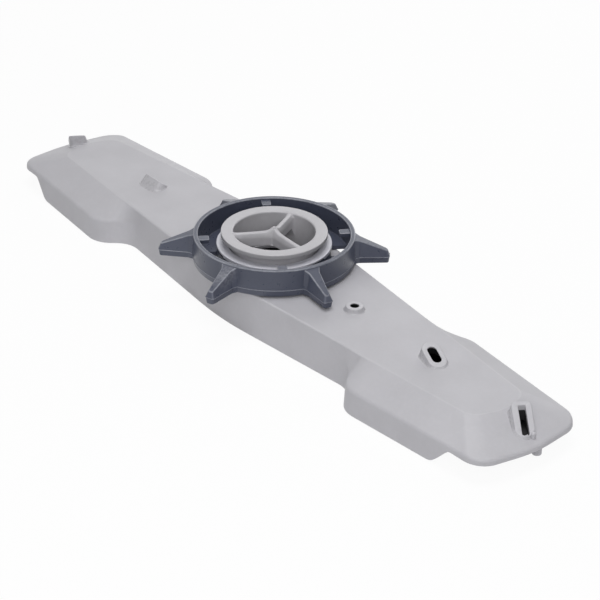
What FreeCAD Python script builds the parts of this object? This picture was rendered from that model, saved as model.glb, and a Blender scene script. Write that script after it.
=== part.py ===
"""Upper-rack dishwasher spray arm, hung from a six-spiked bayonet nut.

Sizes are millimetres. +Z is up, X runs along the arm, and the origin lies on
the hub axis in the plane of the skirt's lower edge. Seen from above, the hollow
arm body is the same in all four quarters, so one quarter of it is described.
"""
import FreeCAD, Part
import math
import os

Vec = FreeCAD.Vector
Turn = FreeCAD.Rotation
Place = FreeCAD.Placement
origin = Vec(0, 0, 0)
x_axis = Vec(1, 0, 0)
y_axis = Vec(0, 1, 0)
up = Vec(0, 0, 1)

# Outer skin of the arm body
half_length = 213.6         # hub axis to the end of the rim
crown_height = 25.8         # flat top above the skirt's edge, at the hub
crown_fall = 0.017          # fall of the flat top for each mm outward
crown_half_width = 36.3     # crease beside the flat top, at the hub
crown_taper = 0.0995        # narrowing of the crease for each mm outward
crown_corner_back = 29.6    # from the arm's end to where crease and end crease would cross
crown_end_back = 24.6       # from the arm's end to the end of the flat top
crown_corner_radius = 9.0
crown_end_radius = 24.0
wing_half_width = 53.0      # rim of the wings, drawn back to the hub
wing_taper = 0.0905         # narrowing of the rim for each mm outward
rim_height = 14.0           # rim of the wings above the skirt's edge
rim_dip = 1.8               # drop of the rim at the very end of the arm
draft = 0.05                # lean of the walls for each mm of height
shoulder_place = 107.5      # middle of the shoulder, along the arm
shoulder_slant = 52.0       # degrees between its middle line and the arm
shoulder_radius = 15.0      # plan radius of both its bends
hub_bend_radius = 210.0     # plan radius where the two halves meet
corner_radius = 13.0        # plan radius of the corners at the end
end_lean = 0.15             # each half of the end edge leans back this much
end_radius = 80.0
wall = 2.2                  # thickness of the moulded walls

# Lower edge of the skirt, which rises to a thin rim near the end
skirt_end_back = 36.1       # from the arm's end to where the rise leaves the flat lower edge
rise_end_back = 25.6        # and to where it reaches the rim's underside
rim_underside = 11.0
end_underside = 9.6         # underside of the rim at the very end
rise_radius = 7.0           # bends at both ends of the rise

# Lower shell, welded inside the skirt
weld_gap = 0.15             # between its edge and the skirt
floor_thickness = 2.0
floor_recess = 0.8          # floor above the skirt's lower edge
weld_lip_height = 4.0       # upstand round the floor
weld_lip_width = 1.6
drive_jet_back = 6.4        # jets that turn the arm, back from its end
drive_jet_side = 6.6        # and beside its middle line
drive_jet_radius = 2.45
drive_jet_foot = 3.0        # its lower end above the skirt's edge
drive_jet_bore = 1.2
drive_jet_tilt = 35.0       # degrees off upright, so that the water pushes the arm round

# Collar on the upper shell, with the ledge that the hub stands on
collar_radius = 29.4
collar_bore = 27.2
collar_top = 33.8
ledge_top = 22.0
ledge_thickness = 2.0
ledge_bore = 22.0

# Bearing ring, pressed into the collar
ring_radius = 31.9
ring_bore = 25.7
ring_top = 36.0             # edge of its flange
ring_dish = 0.5             # drop of the flange's top towards the bore
ring_edge = 0.5             # broken outer edge
press_gap = 0.05            # radial gap of the pressed spigot
ring_thin = 1.3             # flange thickness along the thinner stretches
thin_stretches = 3
thin_span = 52.0            # degrees covered by each of them
thin_end = -98.0            # where one of them stops, measured from +X

# Inlet hub, which turns in the collar
hub_top = 43.0
hub_flange_radius = 29.5
hub_flange_thickness = 2.7
hub_flange_edge = 0.5       # broken edges of the flange
hub_bore = 22.6
sleeve_radius = 24.6
bead_height = 2.7
running_gap = 0.08          # radial gap of the bead in the collar
axial_gap = 0.3             # axial gaps of the hub, and of the nut
spoke_count = 3
spoke_drop = 0.4            # top of the spokes below the flange's top, beside the boss
spoke_fall = 1.0            # further fall of the spokes towards the bore
spoke_depth = 8.4
spoke_ridge = 2.2           # width of a spoke along its top
spoke_width = 3.8           # width of a spoke below its shoulders
spoke_shoulder = 2.6        # height over which it widens
boss_radius = 1.1
boss_foot_radius = 4.4
boss_rise = 2.2             # tip of the boss above the flange's top
web_reach = 6.2             # hollow-topped webs run up from the spokes to the boss
web_drop = 0.6              # their top below the boss's tip

# Lock nut
nut_height = 15.5
nut_bore = 42.0
nut_rim_radius = 44.6
nut_waist_radius = 45.3     # at the parting line of the mould
nut_foot_radius = 44.7
parting_height = 3.7        # parting line above the nut's underside
rim_edge = 0.6              # broken edges of the rim and the foot
lip_run = 0.6               # radial gap of the nut's neck round the collar
lip_thickness = 2.2
neck_wall = 1.5
lug_count = 4
lug_angle = 59.4            # one of the lugs, measured from +X
lug_reach = 6.0             # from the nut's bore inward
lug_width = 5.2
lug_thickness = 2.4
lug_drop = 1.2              # top of the lugs below the rim
lug_round = 0.7
wall_overlap = 0.5          # how far lugs and spikes are carried into the nut's wall
lip_gap = 11.6              # width of the gap in the lip under each lug
spike_count = 6
spike_angle = 49.7
spike_reach = 63.9          # axis to the tip of each spike
spike_root_drop = 0.9       # top of the spikes below the rim, at the wall
spike_tip_drop = 8.8        # top of the tips below the rim
spike_root_width = 8.8      # at the parting line
spike_tip_width = 5.6
spike_flare = 12.4          # width where it runs into the wall
spike_flare_start = 43.8
spike_flare_end = 47.2      # the flare ends at this radius
spike_flare_round = 3.0
spike_lean = 0.12           # lean of the flanks for each mm of height
spike_round = 1.2
spike_wall = 1.5            # wall of the spikes, which are cored from below

# Nozzles of the upper shell. Foot, mouth and hole are lengths and widths in
# plan. The middle of the mouth lies at (x, y) and rises above the shell's top
# there, and the foot lies at its root below the top. Lean and slope tip the
# mouth about its long and its short middle line. Slide moves the foot, and
# shift the hole, from the middle of the mouth. Corner and hole_corner are
# shares of fully round, for the two ends. Slots in a sloping mouth run straight down.
round_jet = dict(x=70.0, y=0.5, heading=0.0, foot=(12.0, 12.0), mouth=(9.4, 9.4), corner=(0.98, 0.98), root=1.2,
                 rise=2.7, lean=0.0, slope=0.0, slide=(0.0, 0.0),
                 hole=(4.8, 4.8), hole_corner=(0.98, 0.98), shift=(0.0, 0.0))
slot_jet = dict(x=133.5, y=3.0, heading=-20.6, foot=(22.0, 12.4), mouth=(20.2, 10.1), corner=(0.98, 0.98), root=1.2,
                rise=3.3, lean=-12.5, slope=0.0, slide=(-1.0, 0.1),
                hole=(14.4, 4.1), hole_corner=(0.98, 0.98), shift=(-0.7, -0.5))
side_jet = dict(x=-117.1, y=2.8, heading=0.0, foot=(18.4, 12.6), mouth=(17.4, 7.2), corner=(0.95, 0.95), root=1.2,
                rise=2.3, lean=41.0, slope=0.0, slide=(1.6, -4.5),
                hole=(13.6, 3.6), hole_corner=(0.95, 0.95), shift=(0.0, 0.0))
tip_jet = dict(x=half_length - 13.0, y=2.9, heading=-30.0, foot=(17.6, 12.6), mouth=(19.8, 9.4), corner=(0.45, 0.9),
               root=4.0, rise=3.6, lean=0.0, slope=35.0, slide=(0.0, -2.2),
               hole=(16.2, 3.8), hole_corner=(0.3, 0.5), shift=(0.5, 0.3))
far_tip_jet = dict(tip_jet, x=14.4 - half_length, y=0.0, heading=150.0, rise=4.1)
nozzle_depth = 15.0         # slots run in this far from the mouths
stud_back = 6.2             # domed studs on the end slopes, back from the arm's end
stud_side = 4.1             # and beside its middle line
stud_radius = 2.3
stud_rise = 0.9

# Places measured back from the arm's end
crown_corner = half_length - crown_corner_back
crown_end = half_length - crown_end_back
skirt_end = half_length - skirt_end_back
rise_end = half_length - rise_end_back
drive_jet_place = half_length - drive_jet_back
stud_place = half_length - stud_back


def turned(shape, angle):
    """A copy of a shape turned about the hub axis."""
    copy = shape.copy()
    copy.rotate(origin, up, angle)
    return copy


def annulus(outer, inner, bottom, top):
    """A plain ring about the hub axis."""
    disc = Part.makeCylinder(outer, top - bottom, Vec(0, 0, bottom))
    return disc.cut(Part.makeCylinder(inner, top - bottom, Vec(0, 0, bottom)))


def revolved(profile):
    """A solid turned about the hub axis from (radius, height, broken edge) corners."""
    corners = [Vec(radius, 0, height) for radius, height, edge in profile]
    points = []
    for i, (radius, height, edge) in enumerate(profile):
        neighbours = (corners[i - 1], corners[(i + 1) % len(corners)]) if edge else (corners[i],)
        for other in neighbours:
            way = other - corners[i]
            points.append(corners[i] + (way.normalize() * edge if edge else way))
    return Part.Face(Part.makePolygon(points + points[:1])).revolve(origin, up, 360)


def sector(angle, half_span, radius, bottom, top):
    """A wedge of space about the hub axis, for cutting rings."""
    corners = [origin]
    for share in (-1, -0.5, 0, 0.5, 1):
        way = math.radians(angle + share * half_span)
        corners.append(Vec(math.cos(way), math.sin(way), 0) * radius)
    face = Part.Face(Part.makePolygon(corners + corners[:1]))
    face.translate(Vec(0, 0, bottom))
    return face.extrude(Vec(0, 0, top - bottom))


def crossing(line_a, line_b):
    """Where two plan lines, each (point, direction), meet."""
    point_a, way_a = line_a
    point_b, way_b = line_b
    gap = point_b - point_a
    share = (gap.x * way_b.y - gap.y * way_b.x) / (way_a.x * way_b.y - way_a.y * way_b.x)
    return point_a + way_a * share


def moved_out(point, way, distance):
    """A plan line through a point, moved away from the arm's middle."""
    way = Vec(way).normalize()
    return point + Vec(-way.y, way.x, 0) * distance, way


def bend(before, corner, after, radius):
    """The arc that rounds a corner, no larger than the runs beside it leave room for."""
    room = min((before - corner).Length, (after - corner).Length) * 0.48
    to_before = (before - corner).normalize()
    to_after = (after - corner).normalize()
    half_angle = to_before.getAngle(to_after) / 2
    reach = min(radius / math.tan(half_angle), room)
    radius = reach * math.tan(half_angle)
    inward = (to_before + to_after).normalize()
    middle = corner + inward * (radius / math.sin(half_angle) - radius)
    return corner + to_before * reach, middle, corner + to_after * reach


def rounded_wire(corners, radii):
    """A closed wire through corners, each of them rounded or left sharp."""
    arcs = []
    for i, corner in enumerate(corners):
        after = corners[(i + 1) % len(corners)]
        arcs.append(bend(corners[i - 1], corner, after, radii[i]) if radii[i] else (corner, None, corner))
    edges = []
    for i, arc in enumerate(arcs):
        if arc[1] is not None:
            edges.append(Part.Arc(*arc).toShape())
        edges.append(Part.makeLine(arc[2], arcs[(i + 1) % len(arcs)][0]))
    return Part.Wire(edges)


def half_bend(corner, after, radius, mirror):
    """The half of a bend that starts on an axis of the arm."""
    before = Vec(corner.x * 2 - after.x, after.y, 0) if mirror == "x" else Vec(after.x, -after.y, 0)
    start, middle, end = bend(before, corner, after, radius)
    arc = Part.Arc(start, middle, end)
    share = arc.FirstParameter + (arc.LastParameter - arc.FirstParameter) * 0.75
    return middle, arc.value(share), end


def quarter_edges(corners, radii):
    """Edges of a quarter outline from the Y axis round to the X axis.

    Each edge is (start, middle, end), with no middle where it is straight.
    """
    first = half_bend(corners[0], corners[1], radii[0], "x")
    last = half_bend(corners[-1], corners[-2], radii[-1], "y")
    edges = [first]
    for i in range(1, len(corners) - 1):
        arc = bend(corners[i - 1], corners[i], corners[i + 1], radii[i])
        edges += [(edges[-1][2], None, arc[0]), arc]
    edges += [(edges[-1][2], None, last[2]), (last[2], last[1], last[0])]
    return edges


def rim_outline(inset, height):
    """A quarter of the outer wall at a height, moved inward by the inset."""
    duct_out = draft * (crown_height - height) - inset
    wing_out = draft * (rim_height - height) - inset
    duct_mid = crown_half_width - crown_taper * shoulder_place
    wing_mid = wing_half_width - wing_taper * shoulder_place
    slant = math.radians(shoulder_slant)
    lines = [
        moved_out(Vec(0, crown_half_width, 0), Vec(1, -crown_taper, 0), duct_out),
        moved_out(Vec(shoulder_place, (duct_mid + wing_mid) / 2, 0),
                  Vec(math.cos(slant), math.sin(slant), 0), wing_out),
        moved_out(Vec(0, wing_half_width, 0), Vec(1, -wing_taper, 0), wing_out),
        moved_out(Vec(half_length, 0, 0), Vec(end_lean, -1, 0), wing_out),
    ]
    corners = [crossing(lines[0], (origin, y_axis))]
    corners += [crossing(lines[i], lines[i + 1]) for i in range(3)]
    corners += [crossing(lines[3], (origin, x_axis))]
    radii = [hub_bend_radius, shoulder_radius - wing_out, shoulder_radius + wing_out,
             corner_radius + wing_out, end_radius]
    return quarter_edges(corners, radii)


def crown_outline(inset, rim):
    """A quarter of the crease, divided where the rim below it is divided."""
    half_width = crown_half_width - inset
    corners = [Vec(0, half_width, 0),
               Vec(crown_corner - inset, half_width - crown_taper * (crown_corner - inset), 0),
               Vec(crown_end - inset, 0, 0)]
    arcs = quarter_edges(corners, [hub_bend_radius, crown_corner_radius, crown_end_radius])
    straight_end = arcs[1][2]
    cuts = [edge[2].x for edge in rim[1:5]]
    points = [arcs[0][2]] + [Vec(x, half_width - crown_taper * x, 0) for x in cuts] + [straight_end]
    straights = [(points[i], None, points[i + 1]) for i in range(5)]
    return arcs[:1] + straights + arcs[2:]


def raised(edges, height_at):
    """The same edges with their points lifted to a height for each place."""
    def lift(point):
        return None if point is None else Vec(point.x, point.y, height_at(point))
    return [tuple(lift(point) for point in edge) for edge in edges]


def edge_curve(edge):
    start, middle, end = edge
    return Part.makeLine(start, end) if middle is None else Part.Arc(start, middle, end).toShape()


def mirrored(edges, flip_x, flip_y):
    """A quarter's edges copied to another quarter, still running onward."""
    scale = lambda point: None if point is None else Vec(point.x * flip_x, point.y * flip_y, point.z)
    copies = [tuple(scale(point) for point in edge) for edge in edges]
    if flip_x * flip_y < 0:
        copies = [(end, middle, start) for start, middle, end in reversed(copies)]
    return copies


def full_ring(quarter):
    """All four quarters, running clockwise from the middle of the +Y side."""
    ring = quarter + mirrored(quarter, 1, -1)
    return ring + mirrored(quarter, -1, -1) + mirrored(quarter, -1, 1)


def rim_level(point):
    """Height of the rim: level along the wings, dipping at the end."""
    start = half_length - corner_radius
    share = max(0.0, (abs(point.x) - start) / corner_radius)
    return rim_height - rim_dip * share


def arm_body(inset, foot):
    """The arm's outer skin as a solid, or its inside with an inset."""
    rim_drop = inset * 0.6
    low = full_ring(raised(rim_outline(inset, foot), lambda point: foot))
    rim_plan = rim_outline(inset, rim_height)
    rim = full_ring(raised(rim_plan, lambda point: rim_level(point) - rim_drop))
    top_level = lambda point: crown_height - crown_fall * abs(point.x) - inset
    crown_plan = crown_outline(inset, rim_plan)
    crown = full_ring(raised(crown_plan, top_level))
    faces = [Part.Face(Part.Wire([edge_curve(edge) for edge in low]))]
    for lower, upper in ((low, rim), (rim, crown)):
        for below, above in zip(lower, upper):
            faces.append(Part.makeRuledSurface(edge_curve(below), edge_curve(above)))
    half = len(crown) // 2
    ridge = [Vec(0, crown[0][0].y, top_level(origin)), Vec(0, -crown[0][0].y, top_level(origin))]
    for side, ends in ((crown[:half], ridge[::-1]), (crown[half:], ridge)):
        edges = [edge_curve(edge) for edge in side] + [Part.makeLine(*ends)]
        faces.append(Part.Face(Part.Wire(edges)))
    shell = Part.makeShell(faces)
    shell.sewShape()
    solid = Part.makeSolid(shell)
    if solid.Volume < 0:
        solid.reverse()
    return solid


def lower_edge_profile(lift):
    """Side view of the skirt's lower edge, lifted, as a wire from hub to end."""
    points = [Vec(0, 0, lift), Vec(skirt_end, 0, lift), Vec(rise_end, 0, rim_underside + lift),
              Vec(half_length + wall, 0, end_underside + lift)]
    lower = bend(points[0], points[1], points[2], rise_radius)
    upper = bend(points[1], points[2], points[3], rise_radius * 0.7)
    return [Part.makeLine(points[0], lower[0]), Part.Arc(*lower).toShape(),
            Part.makeLine(lower[2], upper[0]), Part.Arc(*upper).toShape(),
            Part.makeLine(upper[2], points[3])]


def below_edge(lift):
    """All the space under the skirt's lower edge, lifted, for both halves."""
    edges = lower_edge_profile(lift)
    deep = -crown_height
    start = edges[0].Vertexes[0].Point
    end = edges[-1].Vertexes[-1].Point
    edges += [Part.makeLine(end, Vec(end.x, 0, deep)), Part.makeLine(Vec(end.x, 0, deep), Vec(0, 0, deep)),
              Part.makeLine(Vec(0, 0, deep), start)]
    face = Part.Face(Part.Wire(edges))
    face.translate(Vec(0, -wing_half_width * 1.2, 0))
    half = face.extrude(Vec(0, wing_half_width * 2.4, 0))
    return half.fuse(turned(half, 180)).removeSplitter()


def skin():
    """The arm's outer shape, solid, with the raised lower edge at its ends."""
    return arm_body(0, 0).cut(below_edge(0))


def skin_height(x, y):
    """Top of the shell above a plan place, on the flat or on the end slope."""
    flat = crown_height - crown_fall * abs(x)
    edge_height = crown_height - crown_fall * crown_end
    share = (abs(x) - crown_end) / (half_length - crown_end)
    slope = edge_height + (rim_height - rim_dip - edge_height) * share
    return min(flat, slope)


def plate_outline(size, corner, place):
    """A rounded rectangle about a place, its corners shares of round for each end."""
    half_length_way, half_width_way = size[0] / 2, size[1] / 2
    signs = ((-1, -1), (1, -1), (1, 1), (-1, 1))
    corners = [Vec(sx * half_length_way, sy * half_width_way, 0) for sx, sy in signs]
    full = min(half_length_way, half_width_way)
    near, far = full * corner[0], full * corner[1]
    wire = rounded_wire(corners, [near, far, far, near])
    wire.Placement = place
    return wire


def nozzle(jet):
    """A raised nozzle and its slot, as the body to add and the body to cut."""
    height = skin_height(jet["x"], jet["y"])
    heading = Turn(up, jet["heading"])
    slide = heading.multVec(Vec(jet["slide"][0], jet["slide"][1], 0))
    middle = Vec(jet["x"], jet["y"], height)
    foot_place = Place(middle + slide - up * jet["root"], heading)
    tipped = heading * Turn(y_axis, jet["slope"]) * Turn(x_axis, -jet["lean"])
    mouth_place = Place(middle + up * jet["rise"], tipped)
    foot = plate_outline(jet["foot"], jet["corner"], foot_place)
    mouth = plate_outline(jet["mouth"], jet["corner"], mouth_place)
    body = Part.makeLoft([foot, mouth], True, True)
    inward = (up if jet["slope"] else tipped.multVec(up)) * -nozzle_depth
    slot = Part.Face(plate_outline(jet["hole"], jet["hole_corner"], mouth_place))
    slot.translate(tipped.multVec(Vec(jet["shift"][0], jet["shift"][1], 0)))
    slot.translate(inward * -0.2)
    return body, slot.extrude(inward * 1.2)


def stud():
    """Low dome on the end slope, beside the drive jet."""
    radius = (stud_radius ** 2 + stud_rise ** 2) / (2 * stud_rise)
    height = skin_height(stud_place, stud_side) + stud_rise - radius
    middle = Vec(stud_place, stud_side, height)
    ball = Part.makeSphere(radius, middle)
    return ball.common(Part.makeCylinder(stud_radius, radius * 2, middle))


def upper_shell():
    """Flat-topped hollow moulding with winged ends, collar and nozzles."""
    jets = [nozzle(jet) for jet in (round_jet, slot_jet, side_jet, tip_jet, far_tip_jet)]
    body = skin()
    for raised_body in [jet[0] for jet in jets] + [stud(), turned(stud(), 180)]:
        body = body.fuse(raised_body)
    body = body.cut(arm_body(wall, -1.0))
    body = body.cut(Part.makeCylinder(collar_bore, crown_height, Vec(0, 0, ledge_top)))
    ledge_bottom = ledge_top - ledge_thickness
    body = body.fuse(annulus(collar_radius, collar_bore, ledge_bottom, collar_top))
    body = body.fuse(annulus(collar_radius, ledge_bore, ledge_bottom, ledge_top))
    for jet in jets:
        body = body.cut(jet[1])
    return body.removeSplitter()


def drive_jet():
    """Peg under a tip of the arm and its slanted bore."""
    place = Vec(drive_jet_place, drive_jet_side, drive_jet_foot)
    floor_top = rim_underside + floor_recess + floor_thickness
    peg = Part.makeCylinder(drive_jet_radius, floor_top - drive_jet_foot, place)
    tilt = math.radians(drive_jet_tilt)
    way = Vec(0, -math.sin(tilt), math.cos(tilt))
    bore = Part.makeCylinder(drive_jet_bore, (floor_top - drive_jet_foot) * 2.4,
                             place + Vec(0, 0, drive_jet_radius) - way * drive_jet_radius * 2, way)
    return peg, bore


def lower_shell():
    """Tray that closes the arm from below, with the jets that turn it."""
    gap = wall + weld_gap
    room = arm_body(gap, -1.0)
    tray = room.cut(below_edge(floor_recess))
    hollow = arm_body(gap + weld_lip_width, -1.0).cut(below_edge(floor_recess + floor_thickness))
    tray = tray.cut(hollow).common(below_edge(floor_recess + weld_lip_height))
    for angle in (0, 180):
        peg, bore = (turned(shape, angle) for shape in drive_jet())
        tray = tray.fuse(peg.common(room).cut(hollow)).cut(bore)
    return tray.removeSplitter()


def bead_bottom():
    return ledge_top + axial_gap


def bearing_ring():
    """Flanged bush that holds the hub down and keeps the nut on the collar."""
    spigot = collar_bore - press_gap
    spigot_end = bead_bottom() + bead_height + axial_gap
    ring = revolved([
        (ring_bore, spigot_end, 0), (spigot, spigot_end, 0), (spigot, collar_top, 0),
        (ring_radius, collar_top, 0), (ring_radius, ring_top, ring_edge),
        (ring_bore, ring_top - ring_dish, 0)])
    for i in range(thin_stretches):
        middle = thin_end - thin_span / 2 + i * 360 / thin_stretches
        space = sector(middle, thin_span / 2, ring_radius * 2, collar_top - 1, ring_top - ring_thin)
        ring = ring.cut(space.cut(Part.makeCylinder(collar_radius, ring_top)))
    return ring


def spoke(reach):
    """One spoke along +X with its web, narrow along its top and wider below its shoulders."""
    top = hub_top - spoke_drop
    half_ridge, half_width = spoke_ridge / 2, spoke_width / 2
    shoulder, bottom = top - spoke_shoulder, top - spoke_depth
    corners = [Vec(0, half_ridge, top), Vec(0, half_width, shoulder), Vec(0, half_width, bottom),
               Vec(0, -half_width, bottom), Vec(0, -half_width, shoulder), Vec(0, -half_ridge, top)]
    edge = spoke_ridge * 0.3
    section = Part.Face(rounded_wire(corners, [edge, 0, 0, 0, 0, edge]))
    bar = section.extrude(Vec(reach, 0, -spoke_fall))
    low, high = top - spoke_fall * web_reach / reach, hub_top + boss_rise - web_drop
    start, end = Vec(web_reach, 0, low), Vec(boss_radius, 0, high)
    hollow = Vec((web_reach + boss_radius) * 0.45, 0, low + (high - low) * 0.25)
    corners = [end, Vec(0, 0, high), Vec(0, 0, shoulder), Vec(web_reach, 0, shoulder), start]
    outline = Part.Wire([Part.Arc(start, hollow, end).toShape(), Part.makePolygon(corners)])
    web = Part.Face(outline).extrude(y_axis * (half_ridge * 1.4))
    web.translate(y_axis * (half_ridge * -0.7))
    return bar.fuse(web)


def inlet_hub():
    """Flanged sleeve that the supply pipe plugs into, with three spokes."""
    bead_radius = collar_bore - running_gap
    bottom, bead_top = bead_bottom(), bead_bottom() + bead_height
    flange_bottom = hub_top - hub_flange_thickness
    hub = revolved([
        (hub_bore, bottom, 0), (bead_radius, bottom, 0), (bead_radius, bead_top, 0),
        (sleeve_radius, bead_top, 0), (sleeve_radius, flange_bottom, 0),
        (hub_flange_radius, flange_bottom, hub_flange_edge),
        (hub_flange_radius, hub_top, hub_flange_edge), (hub_bore, hub_top, hub_flange_edge)])
    middle_reach = (hub_bore + sleeve_radius) / 2
    for i in range(spoke_count):
        hub = hub.fuse(turned(spoke(middle_reach), i * 360 / spoke_count))
    bottom = hub_top - spoke_drop - spoke_depth
    tip = hub_top + boss_rise
    boss = Part.makeCone(boss_foot_radius, boss_radius, tip - bottom, Vec(0, 0, bottom))
    return hub.fuse(boss).removeSplitter()


def spike_plan(height):
    """Plan outline of a spike along +X, at a height above the nut's underside."""
    lean = spike_lean * abs(height - parting_height)
    flare, root, tip = (width / 2 - lean for width in (spike_flare, spike_root_width, spike_tip_width))
    side = [Vec(nut_bore + wall_overlap, flare, height), Vec(spike_flare_start, flare, height),
            Vec(spike_flare_end, root, height), Vec(spike_reach - lean, tip, height)]
    corners = side + [Vec(point.x, -point.y, height) for point in reversed(side)]
    radii = [0, 0, spike_flare_round, spike_round]
    return rounded_wire(corners, radii + radii[::-1])


def core_plan(height):
    """Plan outline of the hollow inside a spike."""
    lean = spike_lean * height + spike_wall
    root, tip = spike_root_width / 2 - lean, spike_tip_width / 2 - lean
    far = spike_reach - spike_wall - lean
    corners = [Vec(nut_foot_radius, root, height), Vec(far, tip, height)]
    corners += [Vec(point.x, -point.y, height) for point in reversed(corners)]
    return Part.makePolygon(corners + corners[:1])


def above_spike(drop):
    """All the space above a spike's sloping top, lowered by a drop."""
    fall = (spike_tip_drop - spike_root_drop) / (spike_reach - nut_rim_radius)
    near, far, high = nut_bore, spike_reach + 1, nut_height * 2
    level = lambda radius: nut_height - spike_root_drop - drop - fall * (radius - nut_rim_radius)
    corners = [Vec(near, -near, level(near)), Vec(far, -near, level(far)),
               Vec(far, -near, high), Vec(near, -near, high)]
    return Part.Face(Part.makePolygon(corners + corners[:1])).extrude(Vec(0, 2 * near, 0))


def spike():
    """One spike along +X and the core that hollows it from below."""
    sections = [spike_plan(height) for height in (0, parting_height, nut_height)]
    core = Part.makeLoft([core_plan(height) for height in (0, nut_height / 2)], True, True)
    body = Part.makeLoft(sections, True, True).cut(above_spike(0))
    return body, core.cut(above_spike(spike_wall))


def lock_nut():
    """Spiked ring with bayonet lugs inside, free to turn round the collar."""
    neck_bore = collar_radius + lip_run
    neck_radius = neck_bore + neck_wall
    bottom = crown_height + axial_gap
    neck_height = collar_top - axial_gap - bottom
    nut = revolved([
        (nut_bore, lip_thickness, 0), (nut_bore, nut_height, rim_edge),
        (nut_rim_radius, nut_height, rim_edge), (nut_waist_radius, parting_height, 0),
        (nut_foot_radius, 0, rim_edge), (neck_bore, 0, 0), (neck_bore, neck_height, 0),
        (neck_radius, neck_height, 0), (neck_radius, lip_thickness, 0)])
    lip_space = annulus(nut_bore, neck_radius, -1, lip_thickness + 1)
    lug_length = lug_reach + wall_overlap
    for i in range(lug_count):
        angle = lug_angle + i * 360 / lug_count
        gap = Part.makeBox(nut_bore, lip_gap, lip_thickness + 2, Vec(0, -lip_gap / 2, -1))
        nut = nut.cut(turned(gap.common(lip_space), angle))
        middle = Vec(nut_bore + wall_overlap - lug_length / 2, 0, nut_height - lug_drop - lug_thickness)
        round_share = lug_round * 2 / lug_width
        plan = plate_outline((lug_length, lug_width), (round_share, round_share), Place(middle, Turn()))
        nut = nut.fuse(turned(Part.Face(plan).extrude(up * lug_thickness), angle))
    body, core = spike()
    for i in range(spike_count):
        angle = spike_angle + i * 360 / spike_count
        nut = nut.fuse(turned(body, angle)).cut(turned(core, angle))
    nut = nut.removeSplitter()
    nut.translate(Vec(0, 0, bottom))
    return nut


def build():
    os.makedirs("parts", exist_ok=True)
    pieces = dict(upper_shell=upper_shell(), lower_shell=lower_shell(), bearing_ring=bearing_ring(),
                  inlet_hub=inlet_hub(), lock_nut=lock_nut())
    for name, shape in pieces.items():
        shape.exportStep("parts/" + name + ".step")


build()
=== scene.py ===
import bpy
import bmesh
import math
import numpy as np
from mathutils import Matrix


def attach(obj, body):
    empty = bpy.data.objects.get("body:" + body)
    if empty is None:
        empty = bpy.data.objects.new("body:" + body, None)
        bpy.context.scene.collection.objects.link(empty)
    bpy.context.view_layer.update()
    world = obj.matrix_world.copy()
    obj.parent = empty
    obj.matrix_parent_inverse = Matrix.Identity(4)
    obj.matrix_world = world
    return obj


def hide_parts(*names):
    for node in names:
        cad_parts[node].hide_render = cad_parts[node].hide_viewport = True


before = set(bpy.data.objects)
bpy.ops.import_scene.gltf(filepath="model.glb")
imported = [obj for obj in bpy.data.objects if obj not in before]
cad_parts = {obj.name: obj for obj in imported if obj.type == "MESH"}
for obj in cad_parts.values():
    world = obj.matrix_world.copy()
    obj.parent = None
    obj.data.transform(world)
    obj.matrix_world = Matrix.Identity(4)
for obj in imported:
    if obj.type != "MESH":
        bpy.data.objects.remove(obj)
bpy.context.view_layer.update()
mm = 0.001              # shapes are worked out in millimetres and go into the meshes in metres
curveSteps = 5          # points on each softened round
roundShare = 0.48       # most of an edge that one round takes
mergeDistance = 2e-6    # metres
creaseAngle = 32        # degrees past which an edge stays crisp
print("frame loaded")


# Plan outlines

def unit(vector):
    # each vector divided by its own length
    return vector / np.maximum(np.linalg.norm(vector, axis=-1, keepdims=True), 1e-12)


def plan(x, y):
    # a point or a direction seen from above
    return np.array([x, y], float)


def straight(start, end, count):
    # start + (end - start) * t, t from 0 to 1
    return start + (end - start) * np.linspace(0, 1, count)[:, None]


def bend(before, corner, after, radius, count):
    # arc about the centre on the corner's bisector, touching both sides
    a, b = unit(before - corner), unit(after - corner)
    half = math.acos(np.clip(a @ b, -1, 1)) / 2
    centre = corner + unit(a + b) * radius / math.sin(half)
    start = corner + a * radius / math.tan(half) - centre
    end = corner + b * radius / math.tan(half) - centre
    sweep = math.atan2(start[0] * end[1] - start[1] * end[0], start @ end)
    turn = np.linspace(0, 1, count) * sweep
    x = start[0] * np.cos(turn) - start[1] * np.sin(turn)
    y = start[0] * np.sin(turn) + start[1] * np.cos(turn)
    return centre + np.stack([x, y], 1)


def roundedPath(corners, radii, count, closed=True):
    # every corner of the path becomes an arc, or stays a point where its radius is 0
    pieces = []
    last = len(corners) - 1
    for i, corner in enumerate(corners):
        if not radii[i] or (not closed and i in (0, last)):
            pieces.append(corner[None, :])
        else:
            pieces.append(bend(corners[i - 1], corner, corners[(i + 1) % len(corners)], radii[i], count))
    return np.concatenate(pieces)


def obround(size, corner, count=9):
    # rounded rectangle, its corners shares of half its width, for the near and the far end
    half = plan(*size) / 2
    corners = [half * plan(*sign) for sign in ((-1, -1), (1, -1), (1, 1), (-1, 1))]
    near, far = half.min() * corner[0], half.min() * corner[1]
    return roundedPath(corners, [near, far, far, near], count)


def spineOf(outline, size):
    # the nearest point of the long middle line, for closing an outline
    reach = max(size[0] - size[1], 0) / 2
    return np.stack([np.clip(outline[:, 0], -reach, reach), outline[:, 1] * 0], 1)


# Surfaces: a grid is an array (rows, points, 3), rows across and points round

def lifted(outline, height):
    # a plan outline at a height, which may differ from point to point
    return np.concatenate([outline, np.broadcast_to(height, len(outline))[:, None]], 1)


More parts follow.
